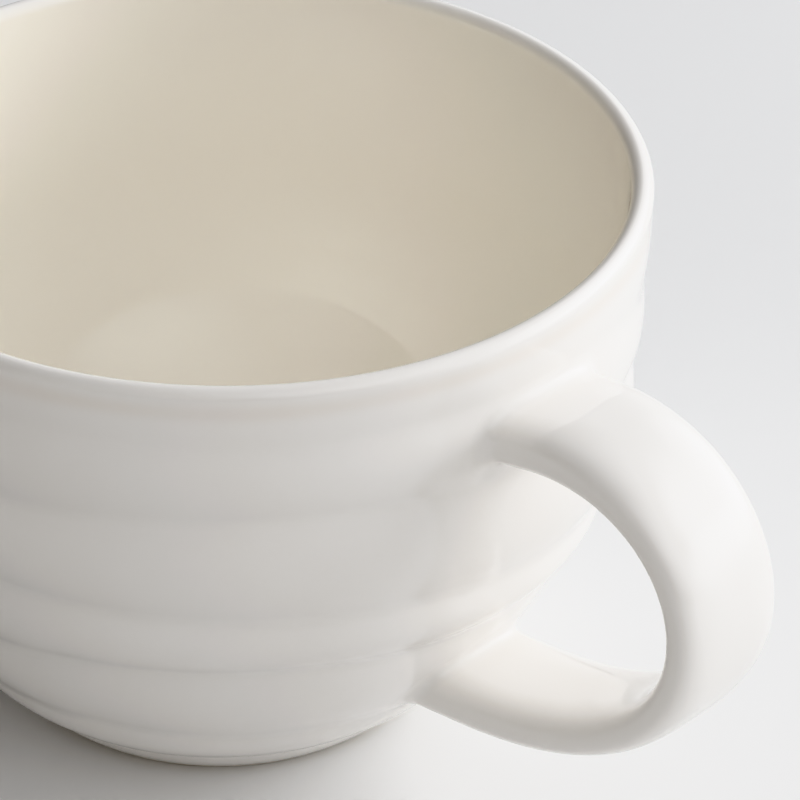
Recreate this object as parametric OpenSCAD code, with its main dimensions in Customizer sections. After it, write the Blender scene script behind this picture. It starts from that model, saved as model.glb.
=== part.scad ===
// Glazed coffee cup: a rippled round bowl on a low foot ring, with a broad strap handle.
// Millimetres. +Z is up, the origin is on the cup's axis at the table, the handle is on +X.

/* [Bowl] */
// Outer radius of the rim
rim_r = 46; // [42:0.5:52]
// Height of the lip above the table
cup_h = 64; // [61:0.5:74]
// Thickness of the rounded lip
lip_t = 2.3; // [1.6:0.1:3]
// Height of the inside floor above the table
floor_z = 7; // [6:0.1:9]
// Lean of the inside wall towards the axis, in degrees
inside_lean = 3; // [1:0.5:4]
// Radius of the bend between the inside wall and the floor
inside_bend_r = 34; // [30:0.5:36]

/* [Ripples] */
// Depth of the first groove below the top of the lip
groove_1_drop = 7.8; // [6:0.1:9]
// Depth of the second groove below the top of the lip
groove_2_drop = 16.7; // [14:0.1:20]
// Height of the third groove
groove_3_z = 33.8; // [30:0.1:38]
// Height of the fourth groove
groove_4_z = 25.5; // [20:0.1:28]
// Height of the fifth groove, the lowest
groove_5_z = 11.6; // [9:0.1:14]
// Inset of the second groove from the rim radius
groove_2_inset = 0.7; // [0.3:0.1:1.2]
// Inset of the third groove from the rim radius
groove_3_inset = 2.1; // [1.4:0.1:2.6]
// Inset of the fourth groove from the rim radius
groove_4_inset = 4.6; // [3.5:0.1:5]
// Inset of the fifth groove from the rim radius
groove_5_inset = 12.5; // [10:0.1:14]
// Swell of the first band, under the lip
lip_band_swell = 0.2; // [0.1:0.05:0.4]
// Swell of each band below the first groove
band_swell = 0.5; // [0.3:0.05:0.8]

/* [Foot] */
// Height of the foot ring
foot_h = 4.2; // [3:0.1:4.8]
// Outer radius of the foot ring where it meets the bowl
foot_top_r = 26.5; // [25:0.5:29]
// Outer radius of the foot ring on the table
foot_r = 23.5; // [22:0.5:25]
// Inner radius of the foot ring
foot_bore_r = 19.5; // [15:0.5:21]

/* [Handle] */
// Depth of the upper root on the bowl, below the top of the lip
upper_root_drop = 12; // [10:0.1:14]
// Height of the lower root on the bowl
lower_root_z = 15.3; // [14:0.1:20]
// Outward pull on the handle's curve at the upper root
upper_pull_out = 30.4; // [24:0.1:38]
// Upward pull on the handle's curve at the upper root
upper_pull_up = 9; // [0:0.1:12]
// Outward pull on the handle's curve at the lower root
lower_pull_out = 49.9; // [40:0.1:58]
// Upward pull on the handle's curve at the lower root
lower_pull_up = 1.4; // [-3:0.1:6]
// Width of the strap at its middle
strap_w = 15; // [11:0.1:18]
// Width of the strap at the upper root
upper_root_w = 16.8; // [12:0.1:20]
// Width of the strap at the lower root
lower_root_w = 14.7; // [11:0.1:18]
// Thickness of the strap at its middle
strap_t = 4.9; // [4:0.1:6.5]
// Thickness of the strap at both roots
root_t = 6.3; // [4.5:0.1:7]

/* [Slip joints] */
// Length of the slip between the bowl and the strap
joint_len = 3.2; // [2.4:0.1:4]
// Spread of the slip around the strap, at the bowl
joint_spread = 2.2; // [1.5:0.1:3]
// Depth that the slip beds in behind the bowl's radius, before the bowl trims it
joint_bed = 2; // [1.6:0.1:2.4]

/* [Hidden] */
$fn = 180;

china = [0.93, 0.92, 0.89];
slip = [0.95, 0.94, 0.91];
bare_clay = [0.90, 0.87, 0.81];

// Points down each band, round the lip and round the inside bend
band_points = 10;
lip_points = 12;
bend_points = 20;

// Rings along the strap and along a joint, points round each ring, and how square the ring is
strap_steps = 44;
joint_steps = 8;
ring_points = 32;
squareness = 2.6;

lip_z = cup_h - lip_t / 2;
inside_r = rim_r - lip_t;
upper_root_z = cup_h - upper_root_drop;

// Band edges down the outside of the bowl, each as radius and height
edges = [
  [rim_r, lip_z],
  [rim_r, cup_h - groove_1_drop],
  [rim_r - groove_2_inset, cup_h - groove_2_drop],
  [rim_r - groove_3_inset, groove_3_z],
  [rim_r - groove_4_inset, groove_4_z],
  [rim_r - groove_5_inset, groove_5_z],
  [foot_top_r, foot_h]
];
bands = len(edges) - 1;

function swell(i) = i == 0 ? lip_band_swell : band_swell;
function unit(v) = v / norm(v);
function left_of(v) = [-v[1], v[0]];
function heading(v) = atan2(v[1], v[0]);
function mix(a, b, u) = a + (b - a) * u;

// Points down the band from edge a to edge b, which swells s proud of the straight line between
function band_line(a, b, s) = [
  for (k = [0:band_points - 1])
    let (u = k / band_points)
    mix(a, b, u) + left_of(unit(b - a)) * s * 4 * u * (1 - u)
];

// Points on a circle of radius r round c, from one angle to another
function arc_line(c, r, from, to, n) = [
  for (k = [0:n])
    let (a = mix(from, to, k / n))
    c + r * [cos(a), sin(a)]
];

bowl_line = concat(
  [for (i = [0:bands - 1]) each band_line(edges[i], edges[i + 1], swell(i))],
  [edges[bands]]
);

// The inside: a lip, a leaning wall, one bend and a flat floor
lip_c = [rim_r - lip_t / 2, lip_z];
bend_z = floor_z + inside_bend_r;
bend_x = inside_r - (lip_z - bend_z) * tan(inside_lean) - inside_bend_r / cos(inside_lean);
inside_line = concat(
  arc_line([bend_x, bend_z], inside_bend_r, -90, -inside_lean, bend_points),
  arc_line(lip_c, lip_t / 2, 180, 0, lip_points)
);

// The bowl's surface at height z: the band there, its radius, and the way it faces
function band_at(z) = min([for (i = [0:bands - 1]) if (z >= edges[i + 1][1]) i]);
function wall_r(z) =
  let (i = band_at(z), a = edges[i], b = edges[i + 1])
  mix(a[0], b[0], (a[1] - z) / (a[1] - b[1]));
function wall_heading(z) =
  let (i = band_at(z))
  heading(left_of(edges[i + 1] - edges[i]));

// The strap's centre line is one cubic curve in the XZ plane, from the upper root to the lower
upper_root = [wall_r(upper_root_z), upper_root_z];
lower_root = [wall_r(lower_root_z), lower_root_z];
upper_pull = upper_root + [upper_pull_out, upper_pull_up];
lower_pull = lower_root + [lower_pull_out, lower_pull_up];
function centre(t) =
  pow(1 - t, 3) * upper_root
  + 3 * pow(1 - t, 2) * t * upper_pull
  + 3 * (1 - t) * t * t * lower_pull
  + t * t * t * lower_root;
function way(t) =
  3 * pow(1 - t, 2) * (upper_pull - upper_root)
  + 6 * (1 - t) * t * (lower_pull - upper_pull)
  + 3 * t * t * (lower_root - lower_pull);

// The lower joint is longer, because the bowl leans away from the strap there
upper_t = joint_len / norm(way(0));
lower_t = 1 - (joint_len + root_t / 2) / norm(way(1));

function strap_width(t) = mix(strap_w, t < 0.5 ? upper_root_w : lower_root_w, pow(1 - 2 * t, 2));
function strap_thickness(t) = mix(strap_t, root_t, pow(1 - 2 * t, 2));
function blunt(v) = sign(v) * pow(abs(v), 2 / squareness);

// One ring of the strap round p, square to the given heading in the XZ plane
function ring(p, angle, w, t) = [
  for (k = [0:ring_points - 1])
    let (
      a = 360 * k / ring_points,
      rise = t / 2 * blunt(cos(a)),
      side = w / 2 * blunt(sin(a))
    )
    [p[0] - rise * sin(angle), side, p[1] + rise * cos(angle)]
];

function strap_ring(t) = ring(centre(t), heading(way(t)), strap_width(t), strap_thickness(t));

// A ring of slip: u runs from 0 at the strap's end at t to 1 in the bowl, facing as the wall does
function slip_ring(t, out, root, facing, u) =
  let (grow = joint_spread * (1 - sqrt(1 - u * u)))
  ring(
    mix(centre(t), root, u),
    mix(heading(out), facing, u),
    strap_width(t) + 2 * grow,
    strap_thickness(t) + 2 * grow
  );

module sweep(rings) {
  n = ring_points;
  last = len(rings) - 1;
  polyhedron(
    points = [for (r = rings) each r],
    faces = concat(
      [[for (k = [0:n - 1]) k]],
      [
        for (i = [0:last - 1], k = [0:n - 1])
          let (a = i * n + k, b = i * n + (k + 1) % n)
          each [[a, a + n, b], [b, a + n, b + n]]
      ],
      [[for (k = [n - 1:-1:0]) last * n + k]]
    )
  );
}

module bowl_solid() {
  rotate_extrude()
    polygon(concat([[0, lip_z]], bowl_line, [[0, foot_h]]));
}

// The bowl's line starts where the lip's arc ends, so its first point is left to the arc
module cup_body() {
  color(china)
    rotate_extrude()
      polygon(concat(
        [[0, floor_z]],
        inside_line,
        [for (k = [1:len(bowl_line) - 1]) bowl_line[k]],
        [[0, foot_h]]
      ));
}

module foot_ring() {
  top = [foot_top_r, foot_h];
  sole = [foot_r, 0];
  color(bare_clay)
    rotate_extrude()
      polygon(concat(
        [[foot_bore_r, foot_h]],
        band_line(top, sole, band_swell),
        [sole, [foot_bore_r, 0]]
      ));
}

module handle() {
  color(china)
    sweep([for (i = [0:strap_steps]) strap_ring(mix(upper_t, lower_t, i / strap_steps))]);
}

// Slip between the strap's end at t, which leaves the bowl along out, and the bowl at root_z
module slip_joint(t, out, root_z) {
  root = [wall_r(root_z), root_z];
  facing = wall_heading(root_z);
  bed = root - joint_bed * [cos(facing), sin(facing)];
  color(slip)
    difference() {
      sweep(concat(
        [slip_ring(t, out, bed, facing, 1)],
        [for (k = [joint_steps:-1:0]) slip_ring(t, out, root, facing, k / joint_steps)]
      ));
      bowl_solid();
    }
}

module upper_joint() {
  slip_joint(upper_t, way(upper_t), upper_root_z);
}

module lower_joint() {
  slip_joint(lower_t, -way(lower_t), lower_root_z);
}

cup_body();
foot_ring();
handle();
upper_joint();
lower_joint();
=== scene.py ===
"""The glazed pieces of a rippled coffee cup, built around the cup's solids, with a plain studio."""

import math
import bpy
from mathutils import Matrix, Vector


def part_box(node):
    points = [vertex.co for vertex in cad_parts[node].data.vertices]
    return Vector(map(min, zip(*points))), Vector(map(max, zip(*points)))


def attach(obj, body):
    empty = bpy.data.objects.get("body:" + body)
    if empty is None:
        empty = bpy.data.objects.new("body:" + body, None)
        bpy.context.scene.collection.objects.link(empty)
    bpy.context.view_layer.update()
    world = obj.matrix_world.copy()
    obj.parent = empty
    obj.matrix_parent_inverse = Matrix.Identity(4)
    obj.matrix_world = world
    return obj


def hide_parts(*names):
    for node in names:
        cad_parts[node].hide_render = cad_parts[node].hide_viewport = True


bl_info = {
    "name": "Rippled Coffee Cup",
    "version": (1, 0, 0),
    "blender": (4, 5, 0),
    "location": "3D View > Sidebar > Cup",
    "description": "Builds the glazed bowl, foot, handle and joints of a coffee cup, and a studio",
    "category": "Object",
}

import bmesh
import bpy
from bpy.props import FloatProperty, FloatVectorProperty, IntProperty, PointerProperty
from mathutils import Matrix, Vector
from mathutils.bvhtree import BVHTree

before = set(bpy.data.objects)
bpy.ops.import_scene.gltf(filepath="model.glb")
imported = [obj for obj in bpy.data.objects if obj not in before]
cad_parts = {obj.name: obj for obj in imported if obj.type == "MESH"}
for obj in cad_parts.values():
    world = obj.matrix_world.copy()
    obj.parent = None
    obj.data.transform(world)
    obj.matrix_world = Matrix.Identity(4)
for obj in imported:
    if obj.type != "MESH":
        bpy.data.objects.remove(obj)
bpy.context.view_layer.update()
BODY_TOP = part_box("cup_body")[1].z
FOOT_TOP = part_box("foot_ring")[1].z
MM = 0.001

# Points closer than this count as one
TOUCH = 0.001 * MM

# Steps that the cup's curves are divided into
FLOOR_STEPS = 4
BEND_STEPS = 36
WALL_STEPS = 10
LIP_STEPS = 16
BAND_STEPS = 18
SOLE_STEPS = 6
RING_STEPS = 72
STRAP_STEPS = 120
JOINT_STEPS = 12

# Rise of each groove round the bowl: pairs of a bearing in degrees and a rise in millimetres
WANDER = (
    ((-76, 0.1), (-62, 0.7), (-46, 0.2), (-21, 0.7), (14, -0.6), (37, -4.2), (85, -2.5), (160, 0)),
    ((-77, -1.5), (-61, -0.6), (-40, 0), (-20, -0.3), (36, -5), (85, -3), (150, 0), (230, -0.6)),
    ((-74, 0.2), (-46, -0.2), (-20, -0.9), (-2, -2.5), (20, -4.6), (50, -4), (100, -1.5), (170, 0)),
    ((-84, -2.2), (-68, -0.7), (-46, 0), (-32, 0.1), (-19, -0.6), (4, -1.7), (40, -2.4), (130, -0.3)),
    ((-80, 0), (-65, 0.7), (-46, 0), (-28, 0), (-9, -0.6), (40, -0.4), (120, 0.3), (210, 0)),
)

# Marks the points that are on no band
NO_BAND = -1.0

# The neck fades above and below itself over this share of its depth under the lip
NECK_FADE = 0.4

# The foot stands off the rim's axis at this bearing, and the bowl above it bends between two heights
OFF_BEARING = math.radians(225)
BEND_LOW, BEND_HIGH = 4 * MM, 27 * MM

# A bevel with this profile is a part of a circle
ROUND_PROFILE = 0.5

# The slip's hem runs on under the bowl's skin, so that no edge shows
HEM = 0.6 * MM
SINK = 0.06 * MM

# Noise in the materials: its scale per metre, and its detail where it has more than usual
PATCH_SCALE, PATCH_DETAIL = 38.0, 3.0
SHEEN_SCALE = 90.0
SKIN_SCALE = 160.0
GLAZE_END_SCALE = 320.0
GRIT_SCALE, GRIT_DETAIL = 1500.0, 4.0
FLOOR_SCALE = 6.0

# Values of the noise between which a soft or a clear change runs
SOFT_SPAN = (0.3, 0.7)
CLEAR_SPAN = (0.35, 0.65)

# Flecks: cells per metre, radius in cells, the solid part of it, share of cells with one, strength
FLECK_SCALE = 110.0
FLECK_SIZE = 0.03
FLECK_CORE = 0.4
FLECK_SHARE = 0.05
FLECK_STRENGTH = 0.6

# The glaze: how far its roughness changes, and the faint unevenness of its skin
SHEEN_CHANGE = 0.3
SKIN_STRENGTH = 0.06
SKIN_DEPTH = 0.1 * MM

# The foot: how far the end of its glaze sways, how soft that end is, and the bare clay's surface
GLAZE_END_SWAY = 0.12 * MM
GLAZE_END_SOFT = 0.1 * MM
CLAY_ROUGHNESS = 0.6
GRIT_STRENGTH = 0.3
GRIT_DEPTH = 0.05 * MM

# The studio's floor: its size in metres, its surface, and how much darker its darker tone is
FLOOR_R = 3.0
FLOOR_SIDES = 64
FLOOR_ROUGHNESS = 0.6
FLOOR_SPECULAR = 0.2
FLOOR_SHADE = 0.985

# Softboxes: name, tint, bearing and rise in degrees, width and height in metres, power in watts
LIGHTS = (
    ("top_softbox", "day", 320, 84, 3.6, 3.0, 3.9),
    ("left_high_softbox", "room", 270, 62, 2.0, 1.6, 1.8),
    ("front_high_softbox", "room", 295, 50, 1.8, 1.4, 0.9),
    ("front_right_high_softbox", "day", 345, 48, 1.8, 1.4, 4.1),
    ("front_left_softbox", "room", 285, 26, 2.0, 1.4, 2.9),
    ("front_softbox", "room", 315, 22, 2.0, 1.4, 0.6),
    ("front_right_softbox", "day", 350, 28, 2.0, 1.4, 2.9),
    ("right_low_softbox", "day", 52, 14, 2.4, 1.0, 14.0),
    ("right_softbox", "day", 70, 30, 2.2, 1.5, 24.5),
    ("back_right_softbox", "day", 95, 24, 2.2, 1.5, 8.5),
)
LIGHTS_AWAY = 1.6

# One over the mean of u (1 - u) v (1 - v) on a softbox, which keeps its power where its edges fade
FADE = 36.0

# A mix node has sockets for each kind of value, so those for colours go by number
MIX_FACTOR, MIX_A, MIX_B, MIX_RESULT = 0, 6, 7, 2


def length(name, description, millimetres):
    """A length in metres, given in millimetres."""
    return FloatProperty(
        name=name, description=description, default=millimetres * MM, unit="LENGTH", precision=5
    )


def lengths(name, description, millimetres):
    """A row of lengths in metres, given in millimetres."""
    return FloatVectorProperty(
        name=name,
        description=description,
        default=[value * MM for value in millimetres],
        size=len(millimetres),
        unit="LENGTH",
    )


def angle(name, description, degrees):
    """An angle in radians, given in degrees."""
    return FloatProperty(
        name=name, description=description, default=math.radians(degrees), subtype="ANGLE"
    )


def colour(name, description, rgb):
    """A linear colour."""
    return FloatVectorProperty(
        name=name, description=description, default=rgb, size=3, subtype="COLOR", min=0.0, max=1.0
    )


class CupBowlSizes(bpy.types.PropertyGroup):
    """Sizes of the bowl and of its ripples."""

    rim_r: length("Rim radius", "Outer radius of the rim", 46.15)
    height: length("Height", "Top of the lip above the table", BODY_TOP / MM)
    lip_t: length("Lip", "Thickness of the rounded lip", 2.5)
    floor_z: length("Floor", "Height of the inside floor", 7)
    lean: angle("Lean", "Lean of the inside wall", 3)
    bend_r: length("Bend", "Radius of the bend between wall and floor", 34)
    groove_z: lengths(
        "Groove heights", "Heights of the grooves, from the lip down", (56.2, 47.3, 33.8, 25.5, 11.6)
    )
    groove_in: lengths(
        "Groove insets", "Insets of the grooves from the rim radius", (0.45, 1.5, 3.0, 5.5, 12.7)
    )
    neck_drop: length("Neck", "Depth of the neck below the top of the lip", 2.5)
    neck_in: length("Neck inset", "Inset of the neck from the rim radius", 0.1)
    edge_z: length("Lower edge", "Height of the edge below which the bowl turns in to its foot", 6.2)
    edge_r: length("Lower edge radius", "Radius of that edge", 29.7)
    swells: lengths(
        "Band swells", "Swell of each band down to the lower edge", (0.26, 0.96, 1.75, 1.35, 1.1, 0.35)
    )
    soft: length("Softness", "How far each groove is softened along the wall", 0.9)
    off_axis: length("Off axis", "How far the foot stands off the rim's axis", 1.25)


class CupFootSizes(bpy.types.PropertyGroup):
    """Sizes of the foot ring."""

    top_z: length("Height", "Height of the foot ring", FOOT_TOP / MM)
    top_r: length("Top radius", "Outer radius under the bowl", 27.2)
    sole_r: length("Sole radius", "Outer radius on the table", 23.2)
    bore_r: length("Bore radius", "Inner radius of the ring", 19.5)
    swell: length("Swell", "Swell of the ring's flank", 0.2)
    round_r: length("Rounding", "Rounding of the sole's two edges", 0.4)


class CupHandleSizes(bpy.types.PropertyGroup):
    """Sizes of the strap and of the slip at its two roots."""

    upper_z: length("Upper root", "Height of the upper root", 52)
    lower_z: length("Lower root", "Height of the lower root", 15.3)
    upper_in: length("Upper root inset", "Inset of the upper root from the rim radius", 0.48)
    lower_in: length("Lower root inset", "Inset of the lower root from the rim radius", 10.55)
    upper_out: length("Upper pull out", "Outward pull on the curve at the upper root", 30.4)
    upper_up: length("Upper pull up", "Upward pull on the curve at the upper root", 9)
    lower_out: length("Lower pull out", "Outward pull on the curve at the lower root", 49.9)
    lower_up: length("Lower pull up", "Upward pull on the curve at the lower root", 1.4)
    width: length("Width", "Width of the strap at its middle", 15)
    upper_w: length("Upper width", "Width of the strap at the upper root", 16.8)
    lower_w: length("Lower width", "Width of the strap at the lower root", 14.7)
    thick: length("Thickness", "Thickness of the strap at its middle", 4.9)
    root_t: length("Root thickness", "Thickness of the strap at both roots", 6.3)
    squareness: FloatProperty(name="Squareness", description="How square the section is", default=3.0)
    joint_len: length("Joint length", "Length of the slip between bowl and strap", 3.2)
    joint_spread: length("Joint spread", "Spread of the slip along the bowl", 2.1)


class CupFinish(bpy.types.PropertyGroup):
    """Colours and gloss of the clay and the glaze."""

    glaze: colour("Glaze", "Colour of the fired glaze", (0.875, 0.85, 0.815))
    patch: colour("Glaze patches", "Colour of the glaze's soft patches", (0.887, 0.864, 0.83))
    cream: colour("Inside glaze", "Colour of the glaze inside the bowl", (0.945, 0.903, 0.818))
    # The colour that the neck under the lip is tinted with: darker and warmer than the glaze
    thin: colour("Thin glaze", "Colour of the thin glaze under the lip", (0.845, 0.805, 0.755))
    fleck: colour("Fleck", "Colour of the few flecks in the glaze", (0.55, 0.45, 0.36))
    clay: colour("Clay", "Colour of the bare sole", (0.74, 0.68, 0.58))
    grit: colour("Clay grit", "Colour of the grit in the bare sole", (0.66, 0.59, 0.48))
    roughness: FloatProperty(name="Roughness", description="Roughness of the glaze", default=0.04)
    ior: FloatProperty(name="IOR", description="Index of refraction of the glaze", default=1.52)
    bare_z: length("Bare sole", "Height at which the glaze ends on the foot", 0.7)


class CupStudio(bpy.types.PropertyGroup):
    """The camera, the lights and the floor."""

    camera_at: lengths("Camera", "Place of the camera", (300.08, -300.08, 306.07))
    heading: angle("Heading", "Camera's heading from +X", 132.436)
    pitch: angle("Pitch", "Camera's look down", 32.682)
    roll: angle("Roll", "Camera's roll", 0.945)
    lens: FloatProperty(name="Lens", description="Focal length in millimetres", default=202.5)
    floor: colour("Floor", "Colour of the floor", (0.80, 0.796, 0.788))
    day: colour("Daylight", "Colour of the softboxes above and at the right", (0.955, 0.97, 1.0))
    room: colour("Room light", "Colour of the other softboxes and of the fill", (1.0, 0.955, 0.90))
    fill: FloatProperty(name="Fill", description="Strength of the even fill light", default=0.015)


class CupSettings(bpy.types.PropertyGroup):
    """Everything that a user may change."""

    bowl: PointerProperty(type=CupBowlSizes)
    foot: PointerProperty(type=CupFootSizes)
    handle: PointerProperty(type=CupHandleSizes)
    finish: PointerProperty(type=CupFinish)
    studio: PointerProperty(type=CupStudio)
    turns: IntProperty(name="Turns", description="Steps round the bowl", default=256, min=48)


def left_of(v):
    return Vector((-v.y, v.x))


def band(a, b, swell):
    """Points from a down to just above b, on a curve that swells outwards."""
    side = left_of((b - a).normalized())
    shares = [k / BAND_STEPS for k in range(BAND_STEPS)]
    return [a.lerp(b, u) + side * swell * 4 * u * (1 - u) for u in shares]


def soften(line, reach):
    """The same line with its corners rounded, each over about the reach; the ends stay."""
    run = [0.0]
    for a, b in zip(line, line[1:]):
        run.append(run[-1] + (b - a).length)
    soft = []
    for at in run:
        # The reach shrinks towards both ends
        near = max(min(reach, 0.5 * at, 0.5 * (run[-1] - at)), TOUCH)
        weights = [math.exp(-0.5 * ((r - at) / near) ** 2) for r in run]
        total = sum((w * q for w, q in zip(weights, line)), Vector((0, 0)))
        soft.append(total / sum(weights))
    return soft


def arc(centre, radius, start, end, steps):
    """Points on a circle, with the angles in degrees."""
    angles = [math.radians(start + (end - start) * k / steps) for k in range(steps + 1)]
    return [centre + radius * Vector((math.cos(a), math.sin(a))) for a in angles]


def band_edges(cup):
    """Radius and height of the edges down the wall: lip, grooves, lower edge and foot."""
    bowl, foot = cup.bowl, cup.foot
    lip = Vector((bowl.rim_r, bowl.height - bowl.lip_t / 2))
    grooves = [Vector((bowl.rim_r - i, z)) for i, z in zip(bowl.groove_in, bowl.groove_z)]
    return [lip, *grooves, Vector((bowl.edge_r, bowl.edge_z)), Vector((foot.top_r, foot.top_z))]


def inside_line(bowl):
    """Points from the middle of the inside floor up the wall and over the lip."""
    lip_z = bowl.height - bowl.lip_t / 2
    bend_z = bowl.floor_z + bowl.bend_r
    inner_r = bowl.rim_r - bowl.lip_t
    bend_x = inner_r - (lip_z - bend_z) * math.tan(bowl.lean) - bowl.bend_r / math.cos(bowl.lean)
    floor = [Vector((bend_x * k / FLOOR_STEPS, bowl.floor_z)) for k in range(FLOOR_STEPS)]
    bend = arc(Vector((bend_x, bend_z)), bowl.bend_r, -90, -math.degrees(bowl.lean), BEND_STEPS)
    lip = arc(Vector((bowl.rim_r - bowl.lip_t / 2, lip_z)), bowl.lip_t / 2, 180, 0, LIP_STEPS)
    wall = [bend[-1].lerp(lip[0], k / WALL_STEPS) for k in range(1, WALL_STEPS)]
    return floor + bend + wall + lip


def wander(groove, bearing):
    """Rise of a groove at a bearing, in metres: a smooth curve through the groove's pairs."""
    pairs = WANDER[groove]
    n = len(pairs)
    for k in range(n):
        (p, rise_p), (a, rise_a), (b, rise_b), (q, rise_q) = (pairs[(k + j) % n] for j in (-1, 0, 1, 2))
        wide = (b - a) % 360
        u = ((math.degrees(bearing) - a) % 360) / wide
        if u <= 1:
            leave = (rise_b - rise_p) / ((b - p) % 360) * wide
            reach = (rise_q - rise_a) / ((q - a) % 360) * wide
            rise = (
                rise_a
                + leave * u
                + (3 * (rise_b - rise_a) - 2 * leave - reach) * u * u
                + (2 * (rise_a - rise_b) + leave + reach) * u**3
            )
            return rise * MM
    raise ValueError("the bearing is in no part of the circle")


def strap_curve(cup):
    """The four points of the strap's centre line, as radius and height."""
    h, rim_r = cup.handle, cup.bowl.rim_r
    upper = Vector((rim_r - h.upper_in, h.upper_z))
    lower = Vector((rim_r - h.lower_in, h.lower_z))
    upper_pull = upper + Vector((h.upper_out, h.upper_up))
    lower_pull = lower + Vector((h.lower_out, h.lower_up))
    return upper, upper_pull, lower_pull, lower


def curve_point(c, t):
    """The point at t on a cubic curve."""
    s = 1 - t
    return s**3 * c[0] + 3 * s * s * t * c[1] + 3 * s * t * t * c[2] + t**3 * c[3]


def curve_way(c, t):
    """How fast, and which way, the point on a cubic curve moves at t."""
    s = 1 - t
    return 3 * s * s * (c[1] - c[0]) + 6 * s * t * (c[2] - c[1]) + 3 * t * t * (c[3] - c[2])


def strap_ends(cup):
    """Where on its curve the strap leaves the upper joint and meets the lower one."""
    c, h = strap_curve(cup), cup.handle
    upper = h.joint_len / curve_way(c, 0).length
    lower = 1 - (h.joint_len + h.root_t / 2) / curve_way(c, 1).length
    return upper, lower


def blunt(v, squareness):
    """A sine or cosine that stays near one for longer, which squares a ring's corners."""
    return math.copysign(abs(v) ** (2 / squareness), v)


def strap_ring(cup, t):
    """Points round the strap at t on its curve."""
    c, h = strap_curve(cup), cup.handle
    at = curve_point(c, t)
    up = left_of(curve_way(c, t).normalized())
    near_root = (1 - 2 * t) ** 2
    width = h.width + ((h.upper_w if t < 0.5 else h.lower_w) - h.width) * near_root
    thick = h.thick + (h.root_t - h.thick) * near_root
    ring = []
    for k in range(RING_STEPS):
        a = math.tau * k / RING_STEPS
        rise = thick / 2 * blunt(math.cos(a), h.squareness)
        side = width / 2 * blunt(math.sin(a), h.squareness)
        p = at + up * rise
        ring.append(Vector((p.x, side, p.y)))
    return ring


def sweep(bm, rows):
    """A closed tube through rows of points, made by drawing out a ring row by row."""
    place = bm.verts.layers.int.new("place")
    ring = bmesh.ops.create_circle(bm, segments=len(rows[0]), radius=1.0)["verts"]
    for k, v in enumerate(ring):
        v[place] = k
        v.co = rows[0][k]
    first = edges = list({e for v in ring for e in v.link_edges})
    for row in rows[1:]:
        made = bmesh.ops.extrude_edge_only(bm, edges=edges)["geom"]
        verts = [g for g in made if isinstance(g, bmesh.types.BMVert)]
        new = set(verts)
        edges = [
            g for g in made if isinstance(g, bmesh.types.BMEdge) and new.issuperset(g.verts)
        ]
        for v in verts:
            v.co = row[v[place]]
    for rim in first + edges:
        rim.smooth = False
    bmesh.ops.holes_fill(bm, edges=first + edges)
    bmesh.ops.recalc_face_normals(bm, faces=bm.faces)
    bm.verts.layers.int.remove(place)


def revolve(bm, line, steps, closed=False, marks=None):
    """Turns a line once round the Z axis and closes its seam and poles. marks go with the points."""
    marks = marks or {}
    for name in marks:
        bm.verts.layers.float.new(name)
    verts = [bm.verts.new((p.x, 0, p.y)) for p in line]
    for name, values in marks.items():
        layer = bm.verts.layers.float[name]
        for v, value in zip(verts, values):
            v[layer] = value
    ends = verts[1:] + verts[:1] if closed else verts[1:]
    edges = [bm.edges.new(pair) for pair in zip(verts, ends)]
    bmesh.ops.spin(
        bm,
        geom=verts + edges,
        cent=(0, 0, 0),
        axis=(0, 0, 1),
        angle=math.tau,
        steps=steps,
        use_merge=True,
    )
    bmesh.ops.remove_doubles(bm, verts=bm.verts, dist=TOUCH)
    bmesh.ops.recalc_face_normals(bm, faces=bm.faces)


def level_edges(bm, height):
    """The edges that lie level at a height."""
    return [e for e in bm.edges if all(abs(v.co.z - height) < TOUCH for v in e.verts)]


def keep_sharp(bm, height):
    """Keeps a flat end sharp, so that it doesn't bend the shading of the flank beside it."""
    for e in level_edges(bm, height):
        e.smooth = False


def set_off_axis(bm, cup):
    """Moves the foot off the rim's axis, and the bowl above it less and less."""
    for v in bm.verts:
        u = min(max((v.co.z - BEND_LOW) / (BEND_HIGH - BEND_LOW), 0), 1)
        far = cup.bowl.off_axis * (1 - u * u * (3 - 2 * u))
        v.co += Vector((math.cos(OFF_BEARING) * far, math.sin(OFF_BEARING) * far, 0))


def add_piece(bm, name, material, slot, *nodes):
    """Turns a bmesh into a smooth piece that stands for its solids."""
    mesh = bpy.data.meshes.new(name)
    bm.to_mesh(mesh)
    bm.free()
    mesh.shade_smooth()
    mesh.materials.append(material)
    piece = bpy.data.objects.new(name, mesh)
    bpy.context.scene.collection.objects.link(piece)
    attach(piece, "root")
    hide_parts(*nodes)


def set_inputs(tree, node, inputs):
    """Sets a node's inputs, each to a value or by a link from a socket."""
    for key, value in inputs.items():
        if isinstance(value, bpy.types.NodeSocket):
            tree.links.new(value, node.inputs[key])
        else:
            node.inputs[key].default_value = value


def add_node(tree, kind, inputs=None, **settings):
    """A shader node with its settings and its inputs."""
    node = tree.nodes.new(kind)
    for key, value in settings.items():
        setattr(node, key, value)
    set_inputs(tree, node, inputs or {})
    return node


def mix_colours(tree, factor, a, b):
    """Goes from colour a to colour b with the factor; each colour is a triple or a socket."""
    a, b = (c if isinstance(c, bpy.types.NodeSocket) else (*c, 1) for c in (a, b))
    inputs = {MIX_FACTOR: factor, MIX_A: a, MIX_B: b}
    return add_node(tree, "ShaderNodeMix", inputs, data_type="RGBA").outputs[MIX_RESULT]


def map_range(tree, value, low, high, to_low=0.0, to_high=1.0):
    """Maps a value from one range to another, and holds it at the ends."""
    inputs = {"Value": value, "From Min": low, "From Max": high, "To Min": to_low, "To Max": to_high}
    return add_node(tree, "ShaderNodeMapRange", inputs).outputs["Result"]


def calculate(tree, operation, a, b):
    """What an operation makes of two values or sockets."""
    return add_node(tree, "ShaderNodeMath", {0: a, 1: b}, operation=operation).outputs["Value"]


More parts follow.
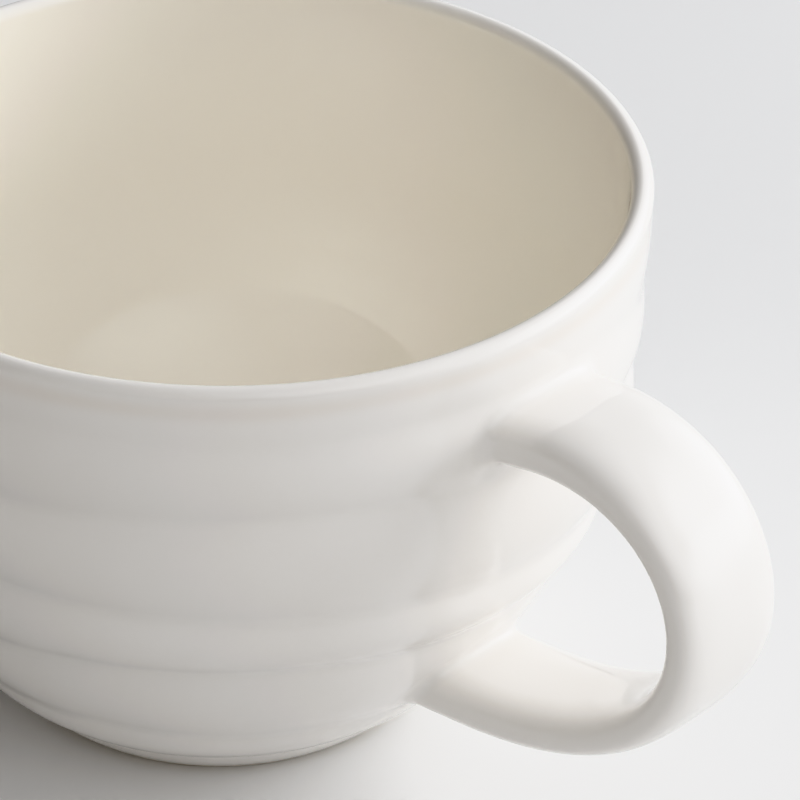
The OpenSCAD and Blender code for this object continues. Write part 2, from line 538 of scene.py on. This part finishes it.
def own_space(tree):
    """Places in the object's own space, in metres."""
    return add_node(tree, "ShaderNodeTexCoord").outputs["Object"]


def noise(tree, scale, detail=2.0):
    """Cloudy noise in the object's own space, with the scale per metre."""
    inputs = {"Vector": own_space(tree), "Scale": scale, "Detail": detail}
    return add_node(tree, "ShaderNodeTexNoise", inputs).outputs["Fac"]


def bump(tree, height, strength, depth):
    """The normal of a surface that is uneven by a height from nothing to one."""
    inputs = {"Height": height, "Strength": strength, "Distance": depth}
    return add_node(tree, "ShaderNodeBump", inputs).outputs["Normal"]


def flecks(tree):
    """A mask of round flecks, in a small share of the cells that space is divided into."""
    cells = add_node(tree, "ShaderNodeTexVoronoi", {"Vector": own_space(tree), "Scale": FLECK_SCALE})
    dot = map_range(tree, cells.outputs["Distance"], FLECK_SIZE, FLECK_CORE * FLECK_SIZE)
    pick = add_node(tree, "ShaderNodeSeparateColor", {"Color": cells.outputs["Color"]})
    chosen = calculate(tree, "GREATER_THAN", pick.outputs["Red"], 1 - FLECK_SHARE)
    return calculate(tree, "MULTIPLY", dot, chosen)


def new_material(name):
    """A material, with its node tree and its main shader."""
    material = bpy.data.materials.new(name)
    material.use_nodes = True
    return material, material.node_tree, material.node_tree.nodes["Principled BSDF"]


def glaze_colour(tree, finish):
    """Warm white in soft patches, creamier inside, darker and warmer at the neck under the lip, with a
    few flecks.
    """
    patches = map_range(tree, noise(tree, PATCH_SCALE, PATCH_DETAIL), *CLEAR_SPAN)
    tone = mix_colours(tree, patches, finish.glaze, finish.patch)
    for mark, tint in (("inside", finish.cream), ("thin", finish.thin)):
        share = add_node(tree, "ShaderNodeAttribute", attribute_name=mark).outputs["Fac"]
        tone = mix_colours(tree, share, tone, tint)
    fleck = map_range(tree, flecks(tree), 0, 1, 0, FLECK_STRENGTH)
    return mix_colours(tree, fleck, tone, finish.fleck)


def glaze_material(cup):
    """The glossy glaze on the bowl, the strap and the joints, which share one material."""
    name = "warm_white_glaze"
    if name in bpy.data.materials:
        return bpy.data.materials[name]
    material, tree, shader = new_material(name)
    finish = cup.finish
    low, high = finish.roughness * (1 - SHEEN_CHANGE), finish.roughness * (1 + SHEEN_CHANGE)
    inputs = {
        "IOR": finish.ior,
        "Base Color": glaze_colour(tree, finish),
        "Roughness": map_range(tree, noise(tree, SHEEN_SCALE), *SOFT_SPAN, low, high),
        "Normal": bump(tree, noise(tree, SKIN_SCALE), SKIN_STRENGTH, SKIN_DEPTH),
    }
    set_inputs(tree, shader, inputs)
    return material


def foot_material(cup):
    """Glaze on the foot's flank that ends in an uneven line above a bare, gritty sole."""
    material, tree, shader = new_material("foot_glaze_and_clay")
    finish = cup.finish
    place = add_node(tree, "ShaderNodeSeparateXYZ", {"Vector": own_space(tree)})
    sway = map_range(tree, noise(tree, GLAZE_END_SCALE), *SOFT_SPAN, -GLAZE_END_SWAY, GLAZE_END_SWAY)
    height = calculate(tree, "ADD", place.outputs["Z"], sway)
    bare = map_range(tree, height, finish.bare_z + GLAZE_END_SOFT, finish.bare_z)
    grit = map_range(tree, noise(tree, GRIT_SCALE, GRIT_DETAIL), *CLEAR_SPAN)
    clay = mix_colours(tree, grit, finish.clay, finish.grit)
    bare_grit = calculate(tree, "MULTIPLY", grit, bare)
    inputs = {
        "IOR": finish.ior,
        "Base Color": mix_colours(tree, bare, glaze_colour(tree, finish), clay),
        "Roughness": map_range(tree, bare, 0, 1, finish.roughness, CLAY_ROUGHNESS),
        "Normal": bump(tree, bare_grit, GRIT_STRENGTH, GRIT_DEPTH),
    }
    set_inputs(tree, shader, inputs)
    return material


def floor_material(studio):
    """A pale floor that hardly shines, in two tones that are nearly the same."""
    material, tree, shader = new_material("pale_floor")
    share = map_range(tree, noise(tree, FLOOR_SCALE), *SOFT_SPAN)
    darker = [FLOOR_SHADE * c for c in studio.floor]
    inputs = {
        "Base Color": mix_colours(tree, share, studio.floor, darker),
        "Roughness": FLOOR_ROUGHNESS,
        "Specular IOR Level": FLOOR_SPECULAR,
    }
    set_inputs(tree, shader, inputs)
    return material


def fade_edges(light):
    """Lets a softbox fade from its middle to its edges, with the same power."""
    light.use_nodes = True
    tree = light.node_tree
    place = add_node(tree, "ShaderNodeNewGeometry")
    across = add_node(tree, "ShaderNodeSeparateXYZ", {"Vector": place.outputs["Parametric"]})
    strength = FADE
    for axis in ("X", "Y"):
        at = across.outputs[axis]
        hump = calculate(tree, "MULTIPLY", at, calculate(tree, "SUBTRACT", 1.0, at))
        strength = calculate(tree, "MULTIPLY", hump, strength)
    set_inputs(tree, tree.nodes["Emission"], {"Strength": strength})


def add_softbox(scene, name, tint, bearing, rise, wide, tall, power):
    """A softbox that faces the cup, at a bearing and a rise in degrees."""
    light = bpy.data.lights.new(name, "AREA")
    light.shape = "RECTANGLE"
    light.size, light.size_y = wide, tall
    light.color = getattr(scene.cup.studio, tint)
    light.energy = power
    fade_edges(light)
    lamp = bpy.data.objects.new(name, light)
    b, r = math.radians(bearing), math.radians(rise)
    out = Vector((math.cos(b) * math.cos(r), math.sin(b) * math.cos(r), math.sin(r)))
    lamp.location = out * LIGHTS_AWAY
    lamp.rotation_euler = out.to_track_quat("Z", "Y").to_euler()
    scene.collection.objects.link(lamp)


class CUP_OT_bowl(bpy.types.Operator):
    """Throw the bowl: a turned shell whose grooves wander a little"""

    bl_idname = "cup.bowl"
    bl_label = "Glazed Bowl"

    def execute(self, context):
        cup = context.scene.cup
        bowl, edges = cup.bowl, band_edges(cup)
        foot_edge = edges[-1]
        # The wall starts at the lip's last point, and its last band, down to the foot, is straight
        inner = inside_line(bowl)[:-1]
        swells = [*bowl.swells, 0.0]
        wall, along = [], []
        for i, (a, b) in enumerate(zip(edges, edges[1:])):
            wall += band(a, b, swells[i])
            along += [i + k / BAND_STEPS for k in range(BAND_STEPS)]
        wall = soften([self.under_lip(bowl, p) for p in wall] + [foot_edge], bowl.soft)
        line = inner + wall + [Vector((0, foot_edge.y))]
        along = [NO_BAND] * len(inner) + along + [NO_BAND] * 2
        # The inside's colour fades on the inner half of the lip
        fade = [1 - k / (LIP_STEPS // 2) for k in range(LIP_STEPS // 2)]
        inside = [1.0] * (len(inner) - LIP_STEPS) + fade
        inside += [0.0] * (len(line) - len(inside))
        # How strongly each point of the neck under the lip is tinted darker and warmer
        thin = [0.0] * len(inner) + [self.near_neck(bowl, p) for p in line[len(inner) :]]
        bm = bmesh.new()
        revolve(bm, line, cup.turns, marks={"along": along, "inside": inside, "thin": thin})
        self.let_grooves_wander(bm, edges)
        keep_sharp(bm, foot_edge.y)
        set_off_axis(bm, cup)
        add_piece(bm, "glazed_bowl", glaze_material(cup), "glaze", "cup_body")
        return {"FINISHED"}

    def under_lip(self, bowl, p):
        """Draws the wall in at the neck, under the lip."""
        return p - Vector((bowl.neck_in * self.near_neck(bowl, p), 0))

    def near_neck(self, bowl, p):
        """One at the neck, falling to nothing above and below it."""
        off = (bowl.height - bowl.neck_drop - p.y) / (NECK_FADE * bowl.neck_drop)
        return math.exp(-off * off)

    def let_grooves_wander(self, bm, edges):
        """Slides the wall up or down along itself, as far as its grooves wander at each bearing."""
        bands = [(a - b).normalized() for a, b in zip(edges, edges[1:])]
        ways = [bands[0], *[(a + b).normalized() for a, b in zip(bands, bands[1:])], bands[-1]]
        along = bm.verts.layers.float["along"]
        for v in bm.verts:
            if v[along] < 0:
                continue
            i = min(int(v[along]), len(bands) - 1)
            u = v[along] - i
            bearing = math.atan2(v.co.y, v.co.x)
            # The lip, the lower edge and the foot stay level
            rises = [0.0, *[wander(g, bearing) for g in range(len(WANDER))], 0.0, 0.0]
            rise = rises[i] * (1 - u) + rises[i + 1] * u
            slide = ways[i].lerp(ways[i + 1], u).normalized() * rise
            v.co += Vector((math.cos(bearing) * slide.x, math.sin(bearing) * slide.x, slide.y))
        bm.verts.layers.float.remove(along)


class CUP_OT_foot(bpy.types.Operator):
    """Turn the foot ring, with both edges of its sole rounded"""

    bl_idname = "cup.foot"
    bl_label = "Foot Ring"

    def execute(self, context):
        cup = context.scene.cup
        foot = cup.foot
        top, sole = Vector((foot.top_r, foot.top_z)), Vector((foot.sole_r, 0))
        line = band(top, sole, foot.swell)
        line += [sole, Vector((foot.bore_r, 0)), Vector((foot.bore_r, foot.top_z))]
        bm = bmesh.new()
        revolve(bm, line, cup.turns, closed=True)
        bmesh.ops.bevel(
            bm,
            geom=self.sole_rims(bm),
            offset=foot.round_r,
            affect="EDGES",
            segments=SOLE_STEPS,
            profile=ROUND_PROFILE,
            material=-1,
        )
        keep_sharp(bm, foot.top_z)
        set_off_axis(bm, cup)
        add_piece(bm, "turned_foot", foot_material(cup), "foot", "foot_ring")
        return {"FINISHED"}

    def sole_rims(self, bm):
        """The edges on the sole that run round it, and not across."""
        rims = []
        for e in level_edges(bm, 0):
            start, end = (v.co.xy.length for v in e.verts)
            if abs(start - end) < TOUCH:
                rims.append(e)
        return rims


class CUP_OT_handle(bpy.types.Operator):
    """Pull the strap handle along its curve"""

    bl_idname = "cup.handle"
    bl_label = "Strap Handle"

    def execute(self, context):
        cup = context.scene.cup
        start, end = strap_ends(cup)
        shares = [start + (end - start) * k / STRAP_STEPS for k in range(STRAP_STEPS + 1)]
        bm = bmesh.new()
        sweep(bm, [strap_ring(cup, t) for t in shares])
        add_piece(bm, "pulled_strap", glaze_material(cup), "glaze", "handle")
        return {"FINISHED"}


class CUP_OT_joints(bpy.types.Operator):
    """Smooth the slip at the strap's two roots into the bowl"""

    bl_idname = "cup.joints"
    bl_label = "Slip Joints"

    def execute(self, context):
        cup = context.scene.cup
        bowl = bpy.data.objects.get("glazed_bowl")
        if bowl is None:
            raise RuntimeError("the bowl has to be made before its joints")
        wall = BVHTree.FromObject(bowl, context.evaluated_depsgraph_get())
        curve = strap_curve(cup)
        upper, lower = strap_ends(cup)
        for name, t, inwards, node in (
            ("upper_slip", upper, -curve_way(curve, upper), "upper_joint"),
            ("lower_slip", lower, curve_way(curve, lower), "lower_joint"),
        ):
            way = Vector((inwards.x, 0, inwards.y)).normalized()
            bm = bmesh.new()
            sweep(bm, self.fillet(cup, wall, strap_ring(cup, t), way))
            add_piece(bm, name, glaze_material(cup), "joint_glaze", node)
        return {"FINISHED"}

    def fillet(self, cup, wall, ring, way):
        """Rows from the strap's end along its sides, then round and out along the wall."""
        spread = cup.handle.joint_spread
        corners = []
        for p in ring:
            at, facing, _, _ = wall.ray_cast(p, way)
            if at is None:
                raise RuntimeError("the strap doesn't point at the bowl")
            corners.append((at, facing))
        middle = sum((at for at, _ in corners), Vector()) / len(corners)
        tracks = []
        for k, p in enumerate(ring):
            at, facing = corners[k]
            around = corners[(k + 1) % len(ring)][0] - corners[k - 1][0]
            out = around.cross(facing).normalized()
            if out.dot(at - middle) < 0:
                out = -out
            bend = at - way * min(spread, (at - p).length)
            end = wall.find_nearest(at + out * spread)[0]
            hem, hem_facing, _, _ = wall.find_nearest(at + out * (spread + HEM))
            straight = [p.lerp(bend, u / JOINT_STEPS) for u in range(JOINT_STEPS)]
            turn = []
            for u in (j / JOINT_STEPS for j in range(JOINT_STEPS + 1)):
                turn.append((1 - u) ** 2 * bend + 2 * u * (1 - u) * at + u * u * end)
            tracks.append(straight + turn + [hem - hem_facing * SINK])
        return [list(row) for row in zip(*tracks)]


class CUP_OT_studio(bpy.types.Operator):
    """Set up the camera, the floor and the soft lights"""

    bl_idname = "cup.studio"
    bl_label = "Studio"

    def execute(self, context):
        scene = context.scene
        studio = scene.cup.studio
        bm = bmesh.new()
        bmesh.ops.create_circle(bm, cap_ends=True, segments=FLOOR_SIDES, radius=FLOOR_R)
        mesh = bpy.data.meshes.new("studio_floor")
        bm.to_mesh(mesh)
        bm.free()
        mesh.materials.append(floor_material(studio))
        floor = bpy.data.objects.new("studio_floor", mesh)
        scene.collection.objects.link(floor)
        for light in LIGHTS:
            add_softbox(scene, *light)
        world = bpy.data.worlds.new("even_fill")
        world.use_nodes = True
        background = world.node_tree.nodes["Background"]
        background.inputs["Color"].default_value = (*studio.room, 1)
        background.inputs["Strength"].default_value = studio.fill
        scene.world = world
        lens = bpy.data.cameras.new("camera")
        lens.lens = studio.lens
        camera = bpy.data.objects.new("camera", lens)
        camera.matrix_world = (
            Matrix.Translation(studio.camera_at)
            @ Matrix.Rotation(studio.heading - math.pi / 2, 4, "Z")
            @ Matrix.Rotation(math.pi / 2 - studio.pitch, 4, "X")
            @ Matrix.Rotation(studio.roll, 4, "Z")
        )
        scene.collection.objects.link(camera)
        scene.camera = camera
        scene.view_settings.view_transform = "Khronos PBR Neutral"
        return {"FINISHED"}


class CUP_PT_panel(bpy.types.Panel):
    """Lists the cup's pieces and their settings"""

    bl_label = "Coffee Cup"
    bl_idname = "CUP_PT_panel"
    bl_space_type = "VIEW_3D"
    bl_region_type = "UI"
    bl_category = "Cup"

    def draw(self, context):
        layout, cup = self.layout, context.scene.cup
        for operator in OPERATORS:
            layout.operator(operator.bl_idname)
        for group in (cup.bowl, cup.foot, cup.handle, cup.finish, cup.studio):
            box = layout.box()
            for key in group.__annotations__:
                box.prop(group, key)


OPERATORS = (CUP_OT_bowl, CUP_OT_foot, CUP_OT_handle, CUP_OT_joints, CUP_OT_studio)
GROUPS = (CupBowlSizes, CupFootSizes, CupHandleSizes, CupFinish, CupStudio, CupSettings)
CLASSES = (*GROUPS, *OPERATORS, CUP_PT_panel)


def register():
    for cls in CLASSES:
        bpy.utils.register_class(cls)
    bpy.types.Scene.cup = PointerProperty(type=CupSettings)


def unregister():
    del bpy.types.Scene.cup
    for cls in reversed(CLASSES):
        bpy.utils.unregister_class(cls)


def main():
    register()
    bpy.ops.cup.bowl()
    bpy.ops.cup.foot()
    bpy.ops.cup.handle()
    bpy.ops.cup.joints()
    bpy.ops.cup.studio()


if __name__ == "__main__":
    main()
